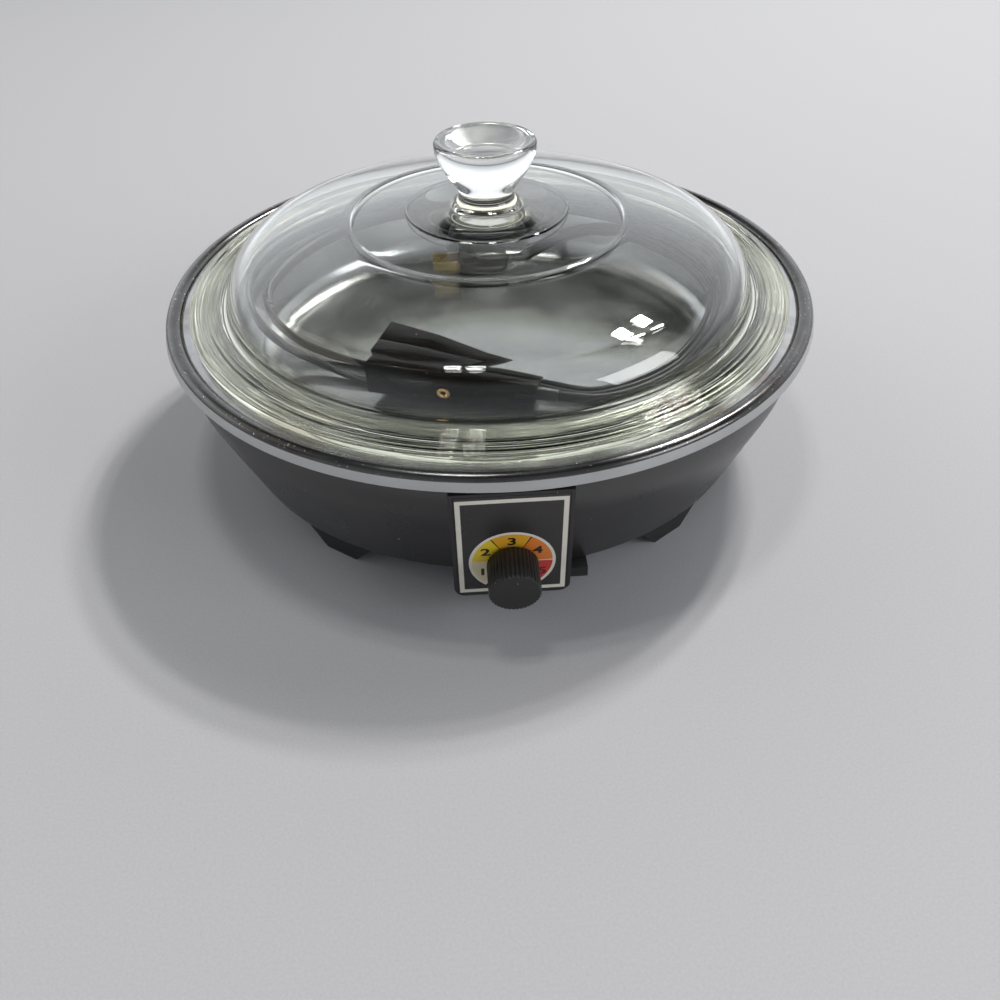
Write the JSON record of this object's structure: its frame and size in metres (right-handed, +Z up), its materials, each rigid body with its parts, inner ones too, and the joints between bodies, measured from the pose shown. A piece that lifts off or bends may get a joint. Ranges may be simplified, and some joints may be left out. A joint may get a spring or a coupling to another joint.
{
  "type": "electric skillet",
  "caption": "Round electric skillet with a dark non-stick pan, black bowl-shaped base, front heat control, pressed-glass lift-off lid and a detachable cord set stored in the pan.",
  "frame": {"origin": "on the table, under the middle of the box round the skillet without its cord set", "axes": "+Z up, the heat control's panel faces -Y, the inlet faces +Y, +X to the right seen from the front"},
  "size_m": [0.33, 0.3415, 0.158],
  "materials": {
    "pan_lining": "glossy dark non-stick lining inside, satin rim band outside",
    "base_black": "satin black enamel",
    "steel_plate": "zinc plated",
    "screw_steel": "zinc plated",
    "foot_black": "matt moulded phenolic",
    "lid_glass": "clear pressed glass, slightly green",
    "control_black": "satin moulded phenolic",
    "dial_print": "black plate printed with a coloured dial and an off-white border",
    "knob_black": "matt moulded phenolic, fluted",
    "brass": "machined",
    "blade_metal": "rolled strip",
    "ceramic": "unglazed steatite",
    "sheath": "heat-browned sheath",
    "pin_metal": "nickel plated",
    "sleeve": "woven glass-fibre sleeve",
    "connector_black": "polished black phenolic",
    "cord_black": "ribbed black jacket"
  },
  "bodies": {
    "root": {"cooking_pan": "pan_lining", "base_shell": "base_black", "bottom_cover": "steel_plate", "support_posts": "steel_plate", "cover_screws": "screw_steel", "foot_front_right": "foot_black", "foot_back_right": "foot_black", "foot_back_left": "foot_black", "foot_front_left": "foot_black", "foot_screws": "screw_steel", "control_housing": "control_black", "dial_plate": "dial_print", "thermostat_plate": "steel_plate", "thermostat_bushing": "brass", "bushing_nut": "screw_steel", "thermostat_body": "ceramic", "bimetal_blade": "blade_metal", "contact_blade": "blade_metal", "contact_buttons": "pin_metal", "stack_spacer": "ceramic", "heating_element": "sheath", "element_clamps": "steel_plate", "element_terminals": "pin_metal", "terminal_insulators": "ceramic", "inlet_shroud": "control_black", "inlet_pins": "pin_metal", "lead_inlet_thermostat": "sleeve", "lead_thermostat_element": "sleeve", "lead_element_inlet": "sleeve", "connector_front_half": "connector_black", "connector_rear_half": "connector_black", "connector_contacts": "brass", "connector_rivet": "brass", "connector_strain_relief": "cord_black", "power_cord": "cord_black", "plug_body": "cord_black", "plug_blades": "brass"},
    "lid": {"glass_lid": "lid_glass"},
    "knob": {"control_knob": "knob_black", "knob_spring": "blade_metal", "control_shaft": "brass"}
  },
  "joints": [
    {"name": "lid_lift", "type": "slide", "parent": "root", "child": "lid", "axis": [0, 0, 1], "range_m": [0, 0.2]},
    {"name": "knob_turn", "type": "hinge", "parent": "root", "child": "knob", "pos_m": [0, -0.15245, 0.035], "axis": [0, 0.9971, 0.0767], "range_deg": [0, 250]}
  ]
}
